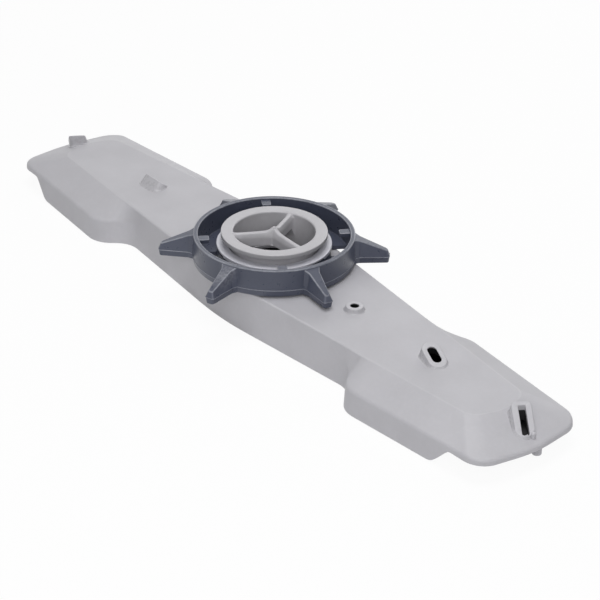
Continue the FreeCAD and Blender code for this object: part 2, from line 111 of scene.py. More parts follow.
def softened(rows, rounds, closed=False):
    # each inner row is replaced by a quadratic curve that starts and ends at its round's distance
    rows = np.asarray(rows, float)
    count = len(rows)
    t = np.linspace(0, 1, curveSteps)[:, None, None]
    pieces = []
    for i, size in enumerate(rounds):
        if not size or (not closed and i in (0, count - 1)):
            pieces.append(rows[i][None])
            continue
        back, on = rows[i - 1] - rows[i], rows[(i + 1) % count] - rows[i]
        backLength = np.linalg.norm(back, axis=1, keepdims=True)
        onLength = np.linalg.norm(on, axis=1, keepdims=True)
        start = rows[i] + unit(back) * np.minimum(size, backLength * roundShare)
        end = rows[i] + unit(on) * np.minimum(size, onLength * roundShare)
        pieces.append((1 - t) ** 2 * start + 2 * t * (1 - t) * rows[i] + t ** 2 * end)
    return np.concatenate(pieces)


def turned(profile, count):
    # (radius, height) points carried round the hub axis
    angle = np.linspace(0, 2 * np.pi, count, endpoint=False)
    radius, height = profile[:, 0, None], profile[:, 1, None]
    return np.stack([radius * np.cos(angle), radius * np.sin(angle), height + 0 * angle], 2)


def softProfile(points, closed=True):
    # (radius, height, round) corners as a smooth section
    table = np.array(points, float)
    rows = np.stack([table[:, 0], table[:, 1]], 1)[:, None, :]
    return softened(rows, list(table[:, 2]), closed)[:, 0, :]


def rotation(heading=0.0, slope=0.0, lean=0.0):
    # lean about X first, then slope about Y, then heading about Z
    angles = ((heading, "Z"), (slope, "Y"), (-lean, "X"))
    turns = [Matrix.Rotation(math.radians(angle), 3, axis) for angle, axis in angles]
    return np.array(turns[0] @ turns[1] @ turns[2])


def spun(grid, angle):
    # the grid turned about the hub axis by an angle in degrees
    return grid @ rotation(angle).T


def gridFaces(rows, points, rowsClosed):
    # point number row * points + point, joined to the next one round and to the same two a row on
    row = np.arange(rows if rowsClosed else rows - 1)[:, None]
    point = np.arange(points)[None, :]
    nextRow, nextPoint = (row + 1) % rows, (point + 1) % points
    corners = [row * points + point, row * points + nextPoint,
               nextRow * points + nextPoint, nextRow * points + point]
    return np.stack([c.ravel() for c in corners], 1)


def solid(name, grids, rowsClosed=False, rowMaterials=None, materials=()):
    # one mesh from closed grids that don't touch, with doubles merged and faces outward;
    # rowMaterials gives each row of faces its place in the list of materials
    points, faces, slots, start = [], [], [], 0
    for grid in grids:
        rows, count = grid.shape[:2]
        points.append(grid.reshape(-1, 3) * mm)
        faces.append(gridFaces(rows, count, rowsClosed) + start)
        plain = np.zeros(len(faces[-1]) // count, int)
        slots.append(np.repeat(plain if rowMaterials is None else np.asarray(rowMaterials, int), count))
        start += rows * count
    points, faces = np.concatenate(points), np.concatenate(faces)
    mesh = bpy.data.meshes.new(name)
    mesh.from_pydata(points.tolist(), [], faces.tolist())
    for material in materials:
        mesh.materials.append(material)
    mesh.polygons.foreach_set("material_index", np.concatenate(slots))
    work = bmesh.new()
    work.from_mesh(mesh)
    bmesh.ops.remove_doubles(work, verts=work.verts, dist=mergeDistance)
    bmesh.ops.dissolve_degenerate(work, edges=work.edges, dist=mergeDistance / 2)
    bmesh.ops.recalc_face_normals(work, faces=work.faces)
    work.to_mesh(mesh)
    work.free()
    piece = bpy.data.objects.new(name, mesh)
    bpy.context.scene.collection.objects.link(piece)
    return piece


def marks(rounds, wanted, closed=False):
    # which rows of faces of a softened grid lie on, or run on from, the wanted source rows
    source = []
    for i, size in enumerate(rounds):
        source += [i] * (curveSteps if size and (closed or 0 < i < len(rounds) - 1) else 1)
    source = np.array(source)
    ahead = np.roll(source, -1) if closed else source[1:]
    here = source if closed else source[:-1]
    return [(int(a), int(b)) in wanted for a, b in zip(here, ahead)]


def combine(piece, tool, operation):
    # applies an exact Boolean and removes the tool, whose faces keep their places in the material list
    for material in piece.data.materials:
        tool.data.materials.append(material)
    step = piece.modifiers.new(operation, "BOOLEAN")
    step.object, step.operation, step.solver = tool, operation, "EXACT"
    graph = bpy.context.evaluated_depsgraph_get()
    mesh = bpy.data.meshes.new_from_object(piece.evaluated_get(graph))
    piece.modifiers.remove(step)
    piece.data = mesh
    bpy.data.objects.remove(tool)


def finished(piece, body, node):
    mesh = piece.data
    mesh.polygons.foreach_set("use_smooth", np.ones(len(mesh.polygons), bool))
    mesh.set_sharp_from_angle(angle=math.radians(creaseAngle))
    weighted = piece.modifiers.new("even faces", "WEIGHTED_NORMAL")
    weighted.keep_sharp = True
    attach(piece, body)
    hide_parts(node)
    print(piece.name, len(mesh.polygons), "faces")


# Plastics: a mottled colour, a fine moulded grain and a roughness that varies a little. The scales of
# the noises are waves per metre.

mottle = dict(cloudScale=38.0, cloudDetail=3.0, speckScale=420.0, grainDetail=2.0, speckFrom=0.45,
              speckTo=0.75, smoother=0.05, rougher=0.07, wearAndSheenFrom=0.515, wearAndSheenTo=0.60, bumpStrength=0.35)
# the lighter streaky patch used by the nut's plastic
patchLook = dict(scale=700.0, detail=5.0, noiseFrom=0.35, noiseTo=0.65, least=0.1, most=0.45, core=0.002,
           edge=0.010, colour=(0.42, 0.42, 0.45))
armPlastic = dict(colour=(0.478, 0.472, 0.500), second=(0.520, 0.514, 0.544), speck=0.05, roughness=0.46,
                  grain=900.0, grainDepth=0.00002, wearAndSheen=0.12)
# lighter copy of the arm's plastic for the middle of each crease round and the nozzle lips: a painted
# highlight
edgeHighlightPlastic = dict(armPlastic, colour=(0.505, 0.499, 0.527), second=(0.550, 0.544, 0.572))
# darker, glossier copy of the arm's plastic for the nozzle walls: the darker colour is painted shade
nozzleShadePlastic = dict(armPlastic, colour=(0.435, 0.429, 0.454), second=(0.472, 0.466, 0.492), roughness=0.28,
                     wearAndSheen=0.3)
# lighter and bluer than the arm's plastic so that the ring under the hub's flange looks lit: painted light
ringLitPlastic = dict(armPlastic, colour=(0.570, 0.570, 0.622), second=(0.618, 0.618, 0.674), roughness=0.40)
# near black for the arm's inner faces, the hole walls below their lit depth and the tray's lip and floor:
# painted shade, since the plastic there is the same light grey as outside
insideShadePlastic = dict(colour=(0.008, 0.008, 0.009), second=(0.016, 0.016, 0.018), speck=0.01, roughness=0.70,
                     grain=700.0, grainDepth=0.00003, wearAndSheen=0.0)
hubPlastic = dict(colour=(0.470, 0.463, 0.486), second=(0.525, 0.518, 0.543), speck=0.06, roughness=0.36,
                  grain=1100.0, grainDepth=0.000015, wearAndSheen=0.18)
nutPlastic = dict(colour=(0.057, 0.064, 0.096), second=(0.069, 0.078, 0.113), speck=0.02, roughness=0.32,
                  grain=900.0, grainDepth=0.00002, wearAndSheen=0.05, patchMiddle=(0.0172, -0.0480, 0.0395))
# paler copy of the nut's plastic for its top edges, the lug tops and the proud parting line: a painted
# highlight
nutHighlightPlastic = dict(colour=(0.100, 0.108, 0.140), second=(0.260, 0.270, 0.310), speck=0.30, roughness=0.35,
                      grain=900.0, grainDepth=0.00004, wearAndSheen=0.1)


def plastic(name, look):
    # colour + (second - colour) * cloud, then lighter by shares for specks, the lighter patch and pointed
    # edges, whose paler colour is partly wear and partly a painted highlight. The bump's height is the grain
    # noise.
    material = bpy.data.materials.new(name)
    material.use_nodes = True
    nodes, links = material.node_tree.nodes, material.node_tree.links
    shader = nodes["Principled BSDF"]
    place = nodes.new("ShaderNodeTexCoord")

    def noise(scale, detail):
        # a cloudy value from 0 to 1 on the piece's own coordinates
        made = nodes.new("ShaderNodeTexNoise")
        made.inputs["Scale"].default_value = scale
        made.inputs["Detail"].default_value = detail
        links.new(place.outputs["Object"], made.inputs["Vector"])
        return made.outputs["Fac"]

    def spread(value, low, high, fromLow=0.3, fromHigh=0.7):
        # low + (high - low) * (value - fromLow) / (fromHigh - fromLow), held between low and high
        made = nodes.new("ShaderNodeMapRange")
        made.inputs["From Min"].default_value = fromLow
        made.inputs["From Max"].default_value = fromHigh
        made.inputs["To Min"].default_value = low
        made.inputs["To Max"].default_value = high
        links.new(value, made.inputs["Value"])
        return made.outputs["Result"]

    def mixed(share, first, second):
        # first + (second - first) * share
        made = nodes.new("ShaderNodeMix")
        made.data_type = "RGBA"
        links.new(share, made.inputs["Factor"])
        for socket, value in (("A", first), ("B", second)):
            target = [s for s in made.inputs if s.name == socket and s.type == "RGBA"][0]
            if isinstance(value, tuple):
                target.default_value = (*value, 1)
            else:
                links.new(value, target)
        return [s for s in made.outputs if s.type == "RGBA"][0]

    cloud = noise(mottle["cloudScale"], mottle["cloudDetail"])      # flow marks a few centimetres wide
    speck = noise(mottle["speckScale"], mottle["grainDetail"])      # specks about 2 mm apart
    grain = noise(look["grain"], mottle["grainDetail"])
    base = mixed(spread(cloud, 0.0, 1.0), look["colour"], look["second"])
    bright = tuple(min(1.0, c * 1.4 + 0.10) for c in look["second"])
    base = mixed(spread(speck, 0.0, look["speck"], mottle["speckFrom"], mottle["speckTo"]), base, bright)
    if "patchMiddle" in look:
        # a lighter streaky patch on the top of one spike, fading with the distance from its middle
        away = nodes.new("ShaderNodeVectorMath")
        away.operation = "DISTANCE"
        away.inputs[1].default_value = look["patchMiddle"]
        links.new(place.outputs["Object"], away.inputs[0])
        near = spread(away.outputs["Value"], 1.0, 0.0, patchLook["core"], patchLook["edge"])
        streaks = spread(noise(patchLook["scale"], patchLook["detail"]), patchLook["least"], patchLook["most"], patchLook["noiseFrom"],
                         patchLook["noiseTo"])
        patchShare = nodes.new("ShaderNodeMath")
        patchShare.operation = "MULTIPLY"
        links.new(near, patchShare.inputs[0])
        links.new(streaks, patchShare.inputs[1])
        base = mixed(patchShare.outputs["Value"], base, patchLook["colour"])
    # pointed edges turn paler: partly wear, partly a painted highlight along the edges
    form = nodes.new("ShaderNodeNewGeometry")
    edges = spread(form.outputs["Pointiness"], 0.0, look["wearAndSheen"], mottle["wearAndSheenFrom"], mottle["wearAndSheenTo"])
    pale = tuple(min(1.0, c * 1.25 + 0.07) for c in look["second"])
    links.new(mixed(edges, base, pale), shader.inputs["Base Color"])
    smooth, rough = look["roughness"] - mottle["smoother"], look["roughness"] + mottle["rougher"]
    links.new(spread(speck, smooth, rough), shader.inputs["Roughness"])
    bump = nodes.new("ShaderNodeBump")
    bump.inputs["Strength"].default_value = mottle["bumpStrength"]
    bump.inputs["Distance"].default_value = look["grainDepth"]
    links.new(grain, bump.inputs["Height"])
    links.new(bump.outputs["Normal"], shader.inputs["Normal"])
    return material


armMaterial = plastic("arm plastic", armPlastic)
edgeHighlightMaterial = plastic("arm painted highlight", edgeHighlightPlastic)
ringLitMaterial = plastic("ring painted light", ringLitPlastic)
nozzleShadeMaterial = plastic("nozzle painted shade", nozzleShadePlastic)
hubMaterial = plastic("hub plastic", hubPlastic)
insideShadeMaterial = plastic("inside painted shade", insideShadePlastic)
nutMaterial = plastic("nut plastic", nutPlastic)
nutHighlightMaterial = plastic("nut painted highlight", nutHighlightPlastic)
print("plastics ready")


# Upper shell: flat-topped hollow arm with winged ends

arm = dict(halfLength=213.598, crownHeight=25.8, crownFall=0.017, crownHalfWidth=36.3, crownTaper=0.0995,
           crownCornerBack=29.6, crownEndBack=24.6, crownCornerRadius=9.0, crownEndRadius=24.0,
           wingHalfWidth=53.0, wingTaper=0.0905, rimHeight=14.0, rimDip=1.8, rimDrop=0.6, draft=0.05,
           shoulderPlace=107.5, shoulderSlant=52.0, shoulderRadius=15.0, hubBendRadius=210.0,
           cornerRadius=13.0, endLean=0.15, endRadius=80.0, wall=2.2,
           skirtEndBack=36.1, riseEndBack=25.6, rimUnderside=11.0, endUnderside=9.6, riseRadius=7.0,
           riseTopShare=0.7, riseSteps=12, creaseRound=1.2, rimRound=1.6, edgeRound=0.35,
           hollowRound=0.8, hollowFoot=-1.0)
edgeCounts = (7, 14, 10, 10, 10, 76, 18, 12, 9)     # points along each edge of a quarter outline


def awayFrom(point, way, distance):
    # a plan line moved away from the arm's middle, as (point, direction)
    way = unit(plan(*way))
    return plan(*point) + plan(-way[1], way[0]) * distance, way


def crossing(first, second):
    # p + v * t, with t from the cross products of the gap and v with w
    (p, v), (q, w) = first, second
    gap = q - p
    return p + v * (gap[0] * w[1] - gap[1] * w[0]) / (v[0] * w[1] - v[1] * w[0])


def halfBend(corner, after, radius, mirror, count):
    # the half of a bend that starts on an axis of the arm
    before = plan(corner[0] * 2 - after[0], after[1]) if mirror == "x" else plan(after[0], -after[1])
    return bend(before, corner, after, radius, count * 2 - 1)[count - 1:]


def quarterEdges(corners, radii, counts):
    # half bend, then straight and bend by turns, and a half bend that ends on the X axis
    bends = [halfBend(corners[0], corners[1], radii[0], "x", counts[0])]
    for i in range(1, len(corners) - 1):
        bends.append(bend(corners[i - 1], corners[i], corners[i + 1], radii[i], counts[i * 2]))
    bends.append(halfBend(corners[-1], corners[-2], radii[-1], "y", counts[-1])[::-1])
    edges = [bends[0]]
    for i, after in enumerate(bends[1:]):
        edges += [straight(edges[-1][-1], after[0], counts[i * 2 + 1]), after]
    return edges


def rimQuarter(inset, height):
    # duct side, shoulder slant, wing side and end as four lines, each moved outward by the draft times
    # its depth below its edge, less the inset, and rounded where they meet
    ductOut = arm["draft"] * (arm["crownHeight"] - height) - inset
    wingOut = arm["draft"] * (arm["rimHeight"] - height) - inset
    ductMiddle = arm["crownHalfWidth"] - arm["crownTaper"] * arm["shoulderPlace"]
    wingMiddle = arm["wingHalfWidth"] - arm["wingTaper"] * arm["shoulderPlace"]
    slant = math.radians(arm["shoulderSlant"])
    shoulder = (arm["shoulderPlace"], (ductMiddle + wingMiddle) / 2)
    lines = [awayFrom((0, arm["crownHalfWidth"]), (1, -arm["crownTaper"]), ductOut),
             awayFrom(shoulder, (math.cos(slant), math.sin(slant)), wingOut),
             awayFrom((0, arm["wingHalfWidth"]), (1, -arm["wingTaper"]), wingOut),
             awayFrom((arm["halfLength"], 0), (arm["endLean"], -1), wingOut)]
    corners = [crossing(lines[0], (plan(0, 0), plan(0, 1)))]
    corners += [crossing(lines[i], lines[i + 1]) for i in range(3)]
    corners += [crossing(lines[3], (plan(0, 0), plan(1, 0)))]
    radii = [arm["hubBendRadius"], arm["shoulderRadius"] - wingOut, arm["shoulderRadius"] + wingOut,
             arm["cornerRadius"] + wingOut, arm["endRadius"]]
    return quarterEdges(corners, radii, edgeCounts)


def crownQuarter(inset, rim):
    # the crease, its straight part divided where the rim below it is
    width = arm["crownHalfWidth"] - inset
    cornerPlace = arm["halfLength"] - arm["crownCornerBack"] - inset
    corners = [plan(0, width), plan(cornerPlace, width - arm["crownTaper"] * cornerPlace),
               plan(arm["halfLength"] - arm["crownEndBack"] - inset, 0)]
    radii = [arm["hubBendRadius"], arm["crownCornerRadius"], arm["crownEndRadius"]]
    whole = quarterEdges(corners, radii, (edgeCounts[0], 2, *edgeCounts[6:]))
    cuts = [edge[-1][0] for edge in rim[1:5]]
    stops = [whole[0][-1]] + [plan(x, width - arm["crownTaper"] * x) for x in cuts] + [whole[1][-1]]
    return whole[:1] + [straight(stops[i], stops[i + 1], edgeCounts[i + 1]) for i in range(5)] + whole[2:]


def allRound(edges):
    # four mirrored quarters, clockwise from the middle of the +Y side
    quarter = np.concatenate([edge[:-1] for edge in edges] + [edges[-1][-1:]])
    return np.concatenate([quarter[:-1], (quarter * (1, -1))[:0:-1],
                           -quarter[:-1], (quarter * (-1, 1))[:0:-1]])


def crownLevel(x):
    # the height at the middle less the fall for each mm away from it
    return arm["crownHeight"] - arm["crownFall"] * abs(x)


def rimLevel(x):
    # level as far as the corners, then down by the dip over one corner radius
    start = arm["halfLength"] - arm["cornerRadius"]
    return arm["rimHeight"] - arm["rimDip"] * np.clip((abs(x) - start) / arm["cornerRadius"], 0, None)


def lowerEdge(x):
    # flat, then an S-shaped rise to the thin rim at the end
    length = arm["halfLength"]
    corners = [plan(0, 0), plan(length - arm["skirtEndBack"], 0),
               plan(length - arm["riseEndBack"], arm["rimUnderside"]),
               plan(length + arm["wall"], arm["endUnderside"])]
    radii = [0, arm["riseRadius"], arm["riseRadius"] * arm["riseTopShare"], 0]
    path = roundedPath(corners, radii, arm["riseSteps"], closed=False)
    return np.interp(abs(x), path[:, 0], path[:, 1])


def armSections(inset):
    # crown, rim and foot of the skin, moved inward by the inset
    rimEdges = rimQuarter(inset, arm["rimHeight"])
    rim, crown = allRound(rimEdges), allRound(crownQuarter(inset, rimEdges))
    foot = allRound(rimQuarter(inset, 0))
    return (lifted(crown, crownLevel(crown[:, 0]) - inset),
            lifted(rim, rimLevel(rim[:, 0]) - inset * arm["rimDrop"]), lifted(foot, 0))


def onSkin(sections, height):
    # the point of each section at a height: on the wall below the rim, on the slope above it
    crown, rim, foot = sections
    height = height[:, None]
    below = rim + (foot - rim) * (rim[:, 2:] - height) / rim[:, 2:]
    above = rim + (crown - rim) * (height - rim[:, 2:]) / (crown[:, 2:] - rim[:, 2:])
    return np.where(height > rim[:, 2:], above, below)


def middleOf(row):
    # the point on the arm's centre line beside each point
    return row * (1, 0, 1)


def armSolid(inset, level, rounds):
    # rows from the centre line over crease, rim and foot, and back to the centre line below. The foot
    # follows the lower edge, or lies at the level where one is given.
    sections = armSections(inset)
    crown, rim, foot = sections
    low = onSkin(sections, lowerEdge(foot[:, 0]) if level is None else np.full(len(foot), level))
    return softened([middleOf(crown), crown, rim, low, middleOf(low)], [0, *rounds, 0])


def skinHeight(x):
    # top of the shell at a distance along the arm: the lower of the crown and the end slope
    length, end = arm["halfLength"], arm["halfLength"] - arm["crownEndBack"]
    share = (abs(x) - end) / (length - end)
    slope = crownLevel(end) + (arm["rimHeight"] - arm["rimDip"] - crownLevel(end)) * share
    return np.minimum(crownLevel(x), slope)


# Nozzles. Foot, mouth and hole are lengths and widths in plan, and throat is how much the hole
# widens below its lip for each mm of depth. Holes in a sloping mouth run straight down.
# litDepth is how deep a hole's wall keeps the arm's colour; below it the wall is painted shade
roundEnds = dict(corner=(0.98, 0.98), holeCorner=(0.98, 0.98), root=1.2, heading=0.0, slope=0.0, lean=0.0,
                 slide=(0.0, 0.0), shift=(0.0, 0.0), throat=0.6, litDepth=0.9)
roundJet = dict(roundEnds, x=70.0, y=0.5, foot=(12.0, 12.0), mouth=(9.4, 9.4), rise=2.7, hole=(4.8, 4.8))
slotJet = dict(roundEnds, x=133.7, y=1.5, heading=-14.0, foot=(19.6, 12.8), mouth=(17.4, 9.9), rise=3.6,
               slope=20.0, slide=(-0.4, 0.0), hole=(10.8, 5.1), litDepth=1.6)
leaningJet = dict(roundEnds, x=-117.1, y=2.8, foot=(18.4, 12.6), mouth=(17.4, 7.2), corner=(0.95, 0.95),
                  rise=2.3, lean=41.0, slide=(1.6, -4.5), hole=(13.6, 3.6), throat=0.1)
tipJet = dict(x=200.1, y=2.8, heading=-30.0, foot=(17.6, 13.4), mouth=(19.0, 10.0), corner=(0.45, 0.95),
              root=4.0, rise=3.6, lean=0.0, slope=35.0, slide=(0.0, -2.4), hole=(16.2, 3.8),
              holeCorner=(0.3, 0.5), shift=(0.8, 0.0), throat=0.03, litDepth=3.0)
farTipJet = dict(tipJet, x=-199.2, y=0.0, heading=150.0, rise=4.1)
jets = [roundJet, slotJet, leaningJet, tipJet, farTipJet]
# the last rows at each lip take the painted highlight
nozzleFinish = dict(flare=0.7, lip=0.45, holeLip=0.35, below=4.5, slopeBelow=0.35, proud=3.0, funnel=0.5,
                    wallSteps=24, lipSteps=12, lipFrom=0.8, holeLipSteps=5, highlightRows=4)


def quarterRound(distance, radius):
    # radius * (1 - sqrt(1 - share^2)): how far a quarter circle stands in at a distance from its tangent
    # point. It stops just before the end, where it would be upright.
    share = np.clip(1 - distance / radius, 0, 0.97)
    return radius * (1 - np.sqrt(1 - share ** 2))


def nozzleGrids(jet):
    # wall = foot + (mouth - foot) * share, the mouth tipped, moved outward by a quarter round where it
    # leaves the shell and inward by another at the lip. The hole is its plan outline carried down.
    level, tipped = rotation(jet["heading"]), rotation(jet["heading"], jet["slope"], jet["lean"])
    middle = np.array([jet["x"], jet["y"], skinHeight(jet["x"])])
    slide = level @ np.array([*jet["slide"], 0])
    footPlace, mouthPlace = middle + slide - (0, 0, jet["root"]), middle + (0, 0, jet["rise"])
    footPlan, mouthPlan = obround(jet["foot"], jet["corner"]), obround(jet["mouth"], jet["corner"])
    foot = lifted(footPlan, 0) @ level.T + footPlace
    mouth = lifted(mouthPlan, 0) @ tipped.T + mouthPlace
    share = np.concatenate([np.linspace(0, nozzleFinish["lipFrom"], nozzleFinish["wallSteps"]),
                            np.linspace(nozzleFinish["lipFrom"], 1, nozzleFinish["lipSteps"])[1:]])
    share = share[:, None, None]
    outward = unit(lifted(mouthPlan - spineOf(mouthPlan, jet["mouth"]), 0))
    outward = unit(outward @ level.T * (1 - share) + outward @ tipped.T * share)
    wall = foot + (mouth - foot) * share
    length = np.linalg.norm(mouth - foot, axis=1)[None, :]
    above = wall[..., 2] - skinHeight(wall[..., 0])
    offset = quarterRound(above, nozzleFinish["flare"])
    offset = offset - quarterRound((1 - share[..., 0]) * length, nozzleFinish["lip"])
    wall = wall + outward * offset[..., None]
    footEnd = lifted(spineOf(footPlan, jet["foot"]), 0) @ level.T + footPlace
    mouthEnd = lifted(spineOf(mouthPlan, jet["mouth"]), 0) @ tipped.T + mouthPlace
    body = np.concatenate([footEnd[None], wall, mouthEnd[None]])

    holePlan = obround(jet["hole"], jet["holeCorner"]) + jet["shift"]
    around = unit(holePlan - jet["shift"] - spineOf(holePlan - jet["shift"], jet["hole"]))
    along = np.array([0, 0, 1.0]) if jet["slope"] else tipped @ (0, 0, 1.0)
    holeLip, lit = nozzleFinish["holeLip"], jet["litDepth"]
    deepest = jet["rise"] + nozzleFinish["below"]
    deepest += jet["mouth"][0] * nozzleFinish["slopeBelow"] if jet["slope"] else 0
    lipDepths = np.linspace(0, holeLip, nozzleFinish["holeLipSteps"])
    depths = np.array([-nozzleFinish["proud"], -0.001, *lipDepths, lit, deepest])
    rows = []
    for depth in depths:
        wide = quarterRound(np.float64(max(depth, 0)), holeLip) + max(-depth, 0) * nozzleFinish["funnel"]
        wide = wide + max(depth - holeLip, 0) * jet["throat"]
        rows.append(lifted(holePlan + around * wide, 0) @ tipped.T + mouthPlace - along * depth)
    spine = lifted(spineOf(holePlan - jet["shift"], jet["hole"]) + jet["shift"], 0) @ tipped.T + mouthPlace
    hole = np.stack([spine - along * depths[0], *rows, spine - along * depths[-1]])
    return body, hole


# a post beside the near tip jet, and the collar that holds the bearing ring
stud = dict(back=5.9, side=2.7, radius=1.4, rise=2.8, root=1.2, domeShare=0.8, around=24)
collar = dict(radius=29.4, bore=27.2, top=33.8, ledgeTop=22.0, ledgeBottom=20.0, ledgeBore=22.0,
              ledgeRound=0.3, topRound=0.2, around=144, borerFrom=18.0, borerTo=32.0, borerAround=96)
insideShadeSlot, highlightSlot, nozzleShadeSlot = 1, 2, 3      # places in the shell's list of materials: painted shade inside, painted highlight on the creases and nozzle lips, and painted shade on the nozzle walls


def studGrid():
    # upright post beside the low end of the tip jet. Its dome has radius * sin(arch) across and
    # radius * (1 - cos(arch)) down, made a little flatter.
    arch = np.linspace(0, 1, 8) * np.pi / 2
    radius = stud["radius"] * np.sin(arch)
    height = stud["rise"] - stud["radius"] * (1 - np.cos(arch)) * stud["domeShare"]
    section = np.stack([[*radius, stud["radius"], 0], [*height, -stud["root"], -stud["root"]]], 1)
    x, y = arm["halfLength"] - stud["back"], stud["side"]
    return turned(section, stud["around"]) + (x, y, skinHeight(x))


def makeUpperShell():
    # outer form, nozzles and post joined, then hollowed by the same form moved inward, bored, and
    # given its collar
    rounds = (arm["creaseRound"], arm["rimRound"], arm["edgeRound"])
    # the middle faces of the crease round take the painted highlight
    crease = marks((0, *rounds, 0), ((1, 1),))
    neighbours = zip([False] + crease, crease, crease[1:] + [False])
    pale = [highlightSlot * (before and here and after) for before, here, after in neighbours]
    skin = solid("upper_shell_skin", [armSolid(0, None, rounds)], rowMaterials=pale,
                 materials=(armMaterial, insideShadeMaterial, edgeHighlightMaterial, nozzleShadeMaterial))
    bodies, holes = zip(*(nozzleGrids(jet) for jet in jets))
    # the last rows of each nozzle wall, at its lip, take the painted highlight, and the rest the nozzle's
    # painted shade
    highlightRows = nozzleFinish["highlightRows"]
    walls = [nozzleShadeSlot] * (len(bodies[0]) - 1 - highlightRows) + [highlightSlot] * highlightRows
    combine(skin, solid("nozzles", bodies, rowMaterials=walls), "UNION")
    combine(skin, solid("stud", [studGrid()]), "UNION")
    hollow = armSolid(arm["wall"], arm["hollowFoot"], (arm["hollowRound"], arm["hollowRound"], 0))
    # the whole inner face of the hollow takes the near-black painted shade
    combine(skin, solid("inside", [hollow], rowMaterials=[insideShadeSlot] * (len(hollow) - 1)), "DIFFERENCE")
    paintedShadeRows = [0] * (len(holes[0]) - 3) + [insideShadeSlot] * 2     # painted shade on the hole walls below the lit depth
    combine(skin, solid("holes", holes, rowMaterials=paintedShadeRows), "DIFFERENCE")
    middle = (collar["radius"] + collar["bore"]) / 2
    low, high = collar["borerFrom"], collar["borerTo"]
    borer = softProfile([(0, low, 0), (middle, low, 0), (middle, high, 0), (0, high, 0)], closed=False)
    combine(skin, solid("borer", [turned(borer, collar["borerAround"])]), "DIFFERENCE")
    ledge, rim = collar["ledgeRound"], collar["topRound"]
    section = softProfile([(collar["ledgeBore"], collar["ledgeBottom"], ledge),
                           (collar["radius"], collar["ledgeBottom"], ledge),
                           (collar["radius"], collar["top"], rim), (collar["bore"], collar["top"], rim),
                           (collar["bore"], collar["ledgeTop"], rim),
                           (collar["ledgeBore"], collar["ledgeTop"], ledge)])
    combine(skin, solid("collar", [turned(section, collar["around"])], rowsClosed=True), "UNION")
    finished(skin, "arm", "upper_shell")


makeUpperShell()
print("upper shell made")


# Lower shell: tray welded inside the skirt, with the jets that turn the arm

tray = dict(weldGap=0.15, floor=2.0, recess=0.8, lipHeight=4.0, lipWidth=1.6, edgeRound=0.4, lipRound=0.2,
            floorRound=0.5, jetBack=6.4, jetSide=6.6, jetRadius=2.45, jetTaper=1.04, jetFoot=3.0,
            jetShort=1.0, jetBore=1.2, jetTilt=35.0, jetRound=0.5, jetAround=36, boreFrom=-8.0, boreTo=16.0,
            boreAround=28)


def makeLowerShell():
    # the arm's own sections moved inward by wall and weld gap, from the bottom up the side, over the lip
    # and down to the floor, with a bored peg near each end
    inset = arm["wall"] + tray["weldGap"]
    outer, inner = armSections(inset), armSections(inset + tray["lipWidth"])
    edge = lowerEdge(outer[2][:, 0])
    top, floorTop = edge + tray["lipHeight"], edge + tray["recess"] + tray["floor"]
    rimHeight = np.clip(outer[1][:, 2], edge + tray["recess"], top)
    bottom = onSkin(outer, edge + tray["recess"])
    innerTop, innerFoot = onSkin(inner, top), onSkin(inner, floorTop)
    rows = [middleOf(bottom), bottom, onSkin(outer, rimHeight), onSkin(outer, top), innerTop, innerFoot,
            middleOf(innerFoot)]
    rounds = [0, tray["edgeRound"], 0, tray["lipRound"], tray["lipRound"], tray["floorRound"], 0]
    # the lip's top and inner side and the floor take the near-black painted shade
    paintedShadeRows = marks(rounds, ((3, 3), (3, 4), (4, 4), (4, 5), (5, 5), (5, 6)))
    piece = solid("lower_shell_tray", [softened(rows, rounds)], rowMaterials=paintedShadeRows,
                  materials=(armMaterial, insideShadeMaterial))
    x, y = arm["halfLength"] - tray["jetBack"], tray["jetSide"]
    floorTop = arm["rimUnderside"] + tray["recess"]
    length = floorTop - tray["jetFoot"] - tray["jetShort"]
    section = softProfile([(0, 0, 0), (tray["jetRadius"], 0, tray["jetRound"]),
                           (tray["jetRadius"] * tray["jetTaper"], length, 0), (0, length, 0)], closed=False)
    peg = turned(section, tray["jetAround"]) + (x, y, tray["jetFoot"])
    combine(piece, solid("pegs", [peg, spun(peg, 180)]), "UNION")
    low, high = tray["boreFrom"], tray["boreTo"]
    section = np.array([(0, low), (tray["jetBore"], low), (tray["jetBore"], high), (0, high)])
    bore = turned(section, tray["boreAround"])
    bore = bore @ rotation(0, 0, -tray["jetTilt"]).T + (x, y, tray["jetFoot"] + tray["jetRadius"])
    combine(piece, solid("bores", [bore, spun(bore, 180)]), "DIFFERENCE")
    finished(piece, "arm", "lower_shell")


makeLowerShell()
print("lower shell made")


# Bearing ring: flanged bush with three thinner stretches under its flange

ring = dict(radius=31.9, bore=25.7, top=36.0, dish=0.5, spigot=27.15, spigotEnd=25.3, flangeBottom=33.8,
            thin=1.3, stretches=3, span=52.0, stretchEnd=-98.0, ramp=1.2, outerSpigot=29.4, stepNear=0.2,
            stepFar=0.3, spigotRound=0.3, underRound=0.25, rimRound=0.55, boreRound=0.5, around=288)


